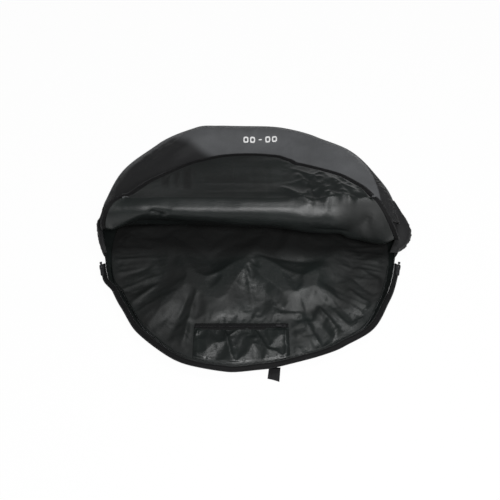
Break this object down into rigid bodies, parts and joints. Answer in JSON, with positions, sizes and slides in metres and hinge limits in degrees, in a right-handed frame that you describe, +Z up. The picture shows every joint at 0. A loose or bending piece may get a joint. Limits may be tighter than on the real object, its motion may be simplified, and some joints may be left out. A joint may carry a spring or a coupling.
{
  "type": "bicycle wheel bag",
  "caption": "Round padded bag for a bicycle wheel, lying open with half of its front cover folded back, with zips, sliders, an inner pocket and a webbing tab.",
  "frame": {"origin": "on the resting face, under the centre of the round back panel", "axes": "+Z up through the bag's thickness, +Y towards the closed far half, +X to the right seen from the open side"},
  "size_m": [0.7675, 0.7612, 0.154],
  "materials": {
    "outer_fabric": "matt woven polyester, charcoal black",
    "lining_fabric": "coated nylon, glossy dark green-grey",
    "foam": "soft foam sheet, grey",
    "webbing": "woven tape, black",
    "zip_plastic": "moulded teeth, black",
    "zip_metal": "painted zinc, black"
  },
  "bodies": {
    "root": {"back_panel": "outer_fabric", "back_padding": "foam", "back_lining": "lining_fabric", "back_seam_binding": "webbing", "far_gusset": "outer_fabric", "far_gusset_lining": "lining_fabric", "near_gusset": "outer_fabric", "near_gusset_lining": "lining_fabric", "cover_outer": "outer_fabric", "cover_padding": "foam", "cover_lining": "lining_fabric", "cover_piping": "webbing", "base_zip_tape": "webbing", "base_zip_teeth": "zip_plastic", "zip_stop_left": "zip_metal", "zip_stop_right": "zip_metal", "zip_ear_left": "outer_fabric", "zip_ear_right": "outer_fabric", "pocket_panel": "lining_fabric", "pocket_tape_upper": "webbing", "pocket_tape_lower": "webbing", "pocket_zip_teeth": "zip_plastic"},
    "fold": {"fold_outer": "outer_fabric", "fold_padding": "foam", "fold_lining": "lining_fabric", "fold_zip_tape_left": "webbing", "fold_zip_tape_right": "webbing"},
    "flap": {"flap_outer": "outer_fabric", "flap_padding": "foam", "flap_lining": "lining_fabric", "flap_piping": "webbing", "flap_zip_tape": "webbing", "flap_zip_teeth": "zip_plastic"},
    "slider_left": {"slider_left": "zip_metal"},
    "pull_left": {"pull_left": "zip_metal"},
    "slider_right": {"slider_right": "zip_metal"},
    "pull_right": {"pull_right": "zip_metal"},
    "pocket_slider": {"pocket_slider": "zip_metal"},
    "pocket_pull": {"pocket_pull": "zip_metal"},
    "webbing_tab": {"webbing_tab": "webbing"}
  },
  "joints": [
    {"name": "fold_turn", "type": "hinge", "parent": "root", "child": "fold", "pos_m": [0, -0.0155, 0.062], "axis": [1, 0, 0], "range_deg": [0, 97.5]},
    {"name": "flap_turn", "type": "hinge", "parent": "fold", "child": "flap", "pos_m": [0, -0.0155, 0.154], "axis": [1, 0, 0], "range_deg": [0, 97.5]},
    {"name": "slider_left_travel", "type": "hinge", "parent": "root", "child": "slider_left", "pos_m": [0, 0, 0.025], "axis": [0, 0, 1], "range_deg": [0, 76]},
    {"name": "pull_left_turn", "type": "hinge", "parent": "slider_left", "child": "pull_left", "pos_m": [-0.36421, -0.07742, 0.02885], "axis": [-0.9781, -0.2079, 0], "range_deg": [0, 165]},
    {"name": "slider_right_travel", "type": "hinge", "parent": "root", "child": "slider_right", "pos_m": [0, 0, 0.025], "axis": [0, 0, -1], "range_deg": [0, 76]},
    {"name": "pull_right_turn", "type": "hinge", "parent": "slider_right", "child": "pull_right", "pos_m": [0.36421, -0.07742, 0.02885], "axis": [-0.9781, 0.2079, 0], "range_deg": [0, 165]},
    {"name": "pocket_slider_travel", "type": "slide", "parent": "root", "child": "pocket_slider", "axis": [-1, 0, 0], "range_m": [0, 0.197]},
    {"name": "pocket_pull_turn", "type": "hinge", "parent": "pocket_slider", "child": "pocket_pull", "pos_m": [0.078, -0.24, 0.01075], "axis": [0, 1, 0], "range_deg": [0, 165]},
    {"name": "webbing_tab_turn", "type": "hinge", "parent": "root", "child": "webbing_tab", "pos_m": [0.058, -0.35657, 0.0036], "axis": [-1, 0, 0], "range_deg": [0, 40]}
  ],
  "couplings": [
    {"joint": "flap_turn", "follows": "fold_turn", "ratio": 1}
  ]
}
